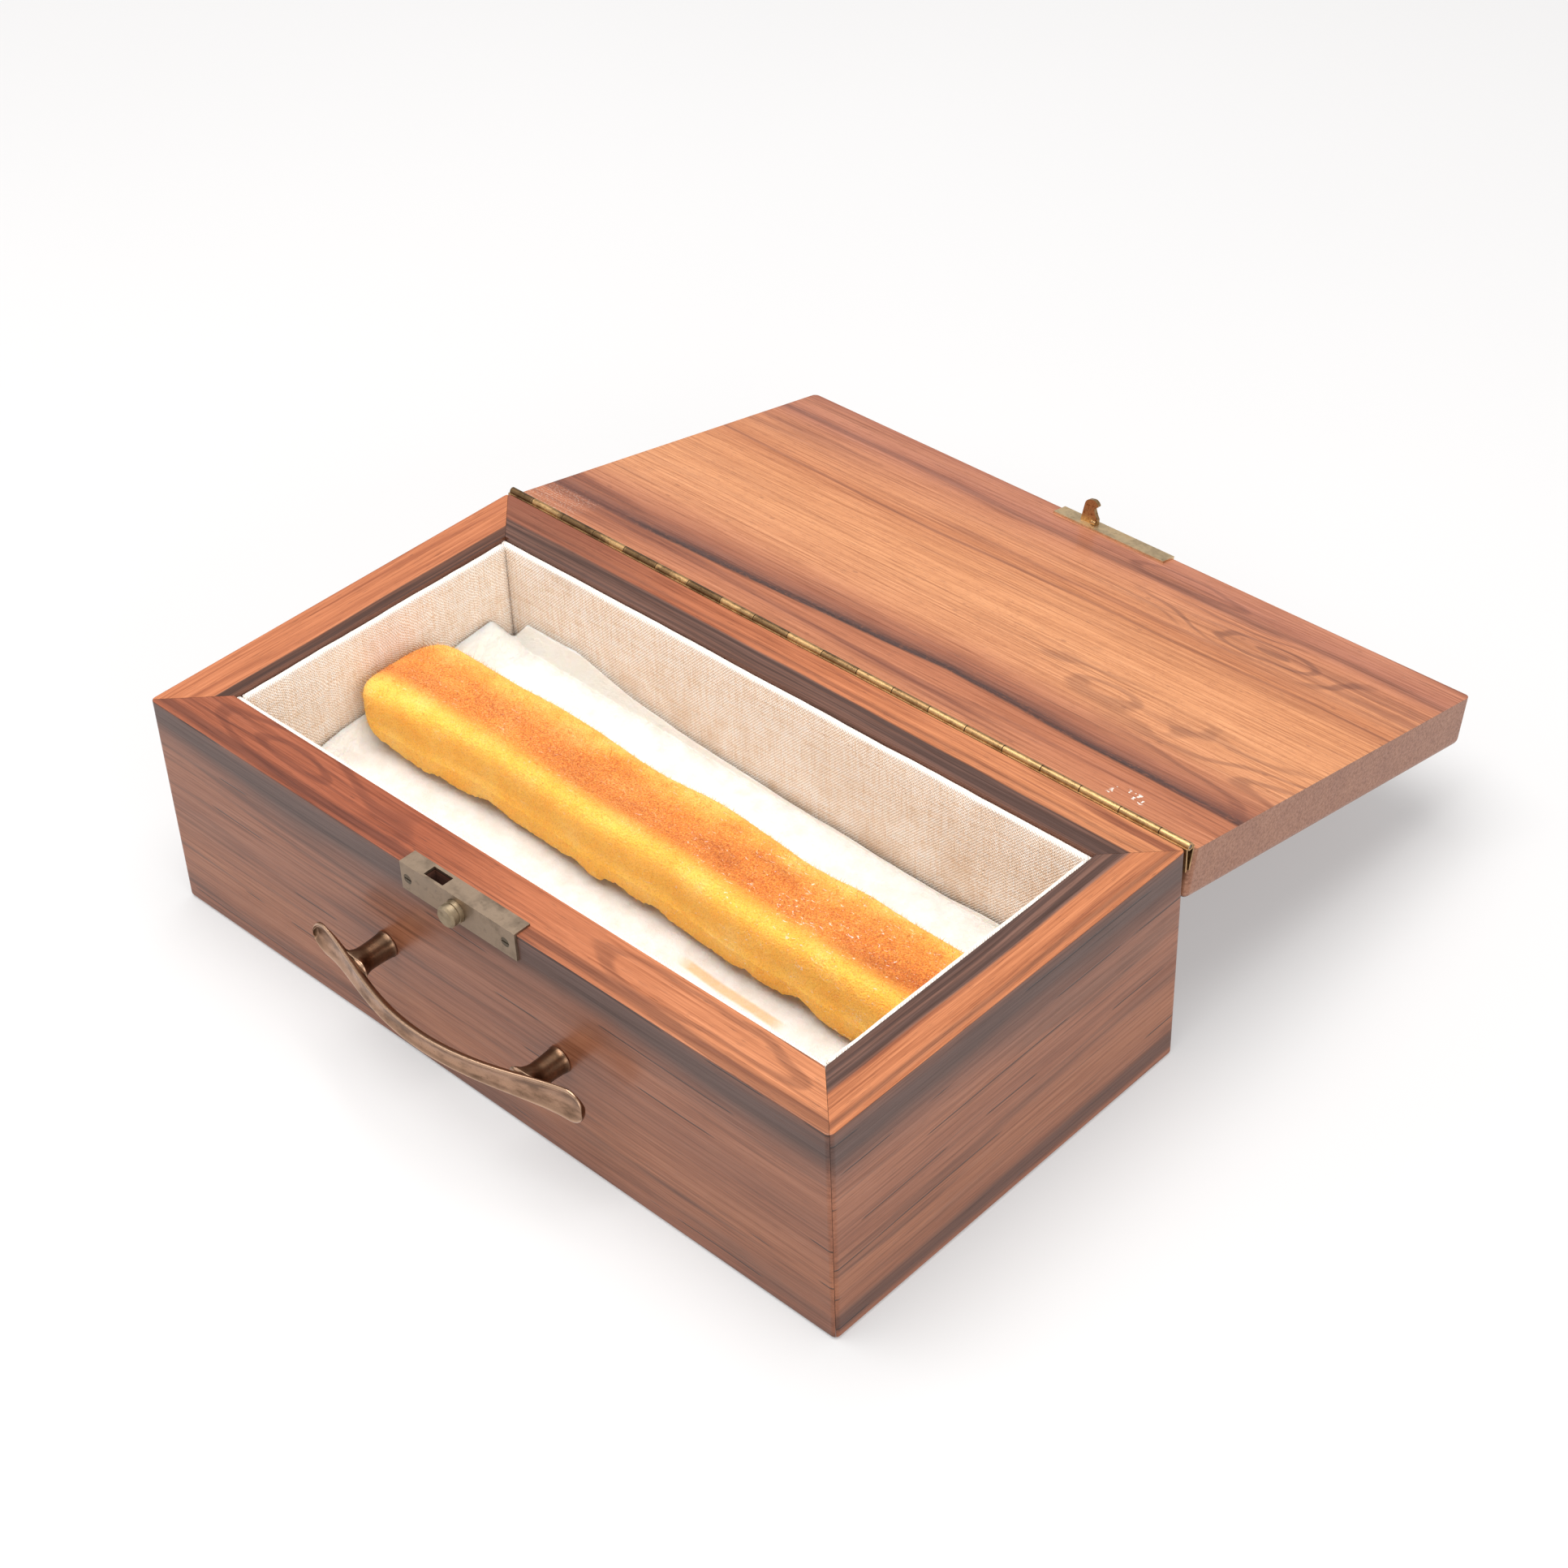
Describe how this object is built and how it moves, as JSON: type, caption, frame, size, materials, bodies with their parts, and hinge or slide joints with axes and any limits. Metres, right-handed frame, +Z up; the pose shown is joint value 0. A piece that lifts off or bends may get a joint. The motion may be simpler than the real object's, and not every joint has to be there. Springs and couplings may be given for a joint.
{
  "type": "needle case",
  "caption": "Rectangular rosewood box with a flat hinged lid, push-button box lock, bow handle, cloth-lined walls, and a foam strip on cotton inside.",
  "frame": {"origin": "centre of the box's underside, on the surface it stands on", "axes": "+X along the length to the right seen from the handle side, -Y out of the handle side, +Y towards the hinge, +Z up"},
  "size_m": [0.2905, 0.3321, 0.0826],
  "materials": {
    "rosewood": "dry waxed rosewood, dark streaks",
    "lining_cloth": "beige linen weave",
    "ochre_felt": "ochre cloth over padding",
    "white_cotton": "soft cotton batting",
    "orange_foam": "aged crumbling foam",
    "lock_metal": "dull nickel over brass",
    "hook_brass": "worn yellow brass",
    "hinge_brass": "tarnished brass",
    "spring_steel": "plain steel",
    "bronze": "antique bronze with worn high spots"
  },
  "bodies": {
    "case": {"front_wall": "rosewood", "back_wall": "rosewood", "left_wall": "rosewood", "right_wall": "rosewood", "bottom_panel": "rosewood", "lining_front": "lining_cloth", "lining_back": "lining_cloth", "lining_left": "lining_cloth", "lining_right": "lining_cloth", "floor_lining": "lining_cloth", "underlay_pad": "ochre_felt", "cotton_sheet": "white_cotton", "foam_strip": "orange_foam", "lock_plate": "lock_metal", "lock_case": "lock_metal", "guide_rivets": "hook_brass", "catch_spring": "spring_steel", "lock_screws": "hook_brass", "handle": "bronze", "handle_screws": "spring_steel", "hinge_leaf_case": "hinge_brass", "hinge_pin": "spring_steel", "hinge_screws_case": "hinge_brass"},
    "lid": {"lid_board": "rosewood", "hinge_leaf_lid": "hinge_brass", "hinge_screws_lid": "hinge_brass", "strike_plate": "hook_brass", "strike_screws": "hook_brass", "lid_hook": "hook_brass"},
    "button": {"push_button": "lock_metal"},
    "catch": {"catch_slide": "hook_brass"}
  },
  "joints": [
    {"name": "lid_hinge", "type": "hinge", "parent": "case", "child": "lid", "pos_m": [0, 0.079, 0.0813], "axis": [1, 0, 0], "range_deg": [0, 191.6]},
    {"name": "button_press", "type": "slide", "parent": "case", "child": "button", "axis": [0, 1, 0], "range_m": [0, 0.0013], "stiffness_N_per_m": 200},
    {"name": "catch_travel", "type": "slide", "parent": "case", "child": "catch", "axis": [1, 0, 0], "range_m": [0, 0.0013], "stiffness_N_per_m": 400, "deforming": ["catch_spring"]}
  ],
  "couplings": [
    {"joint": "catch_travel", "follows": "button_press", "ratio": 1}
  ]
}
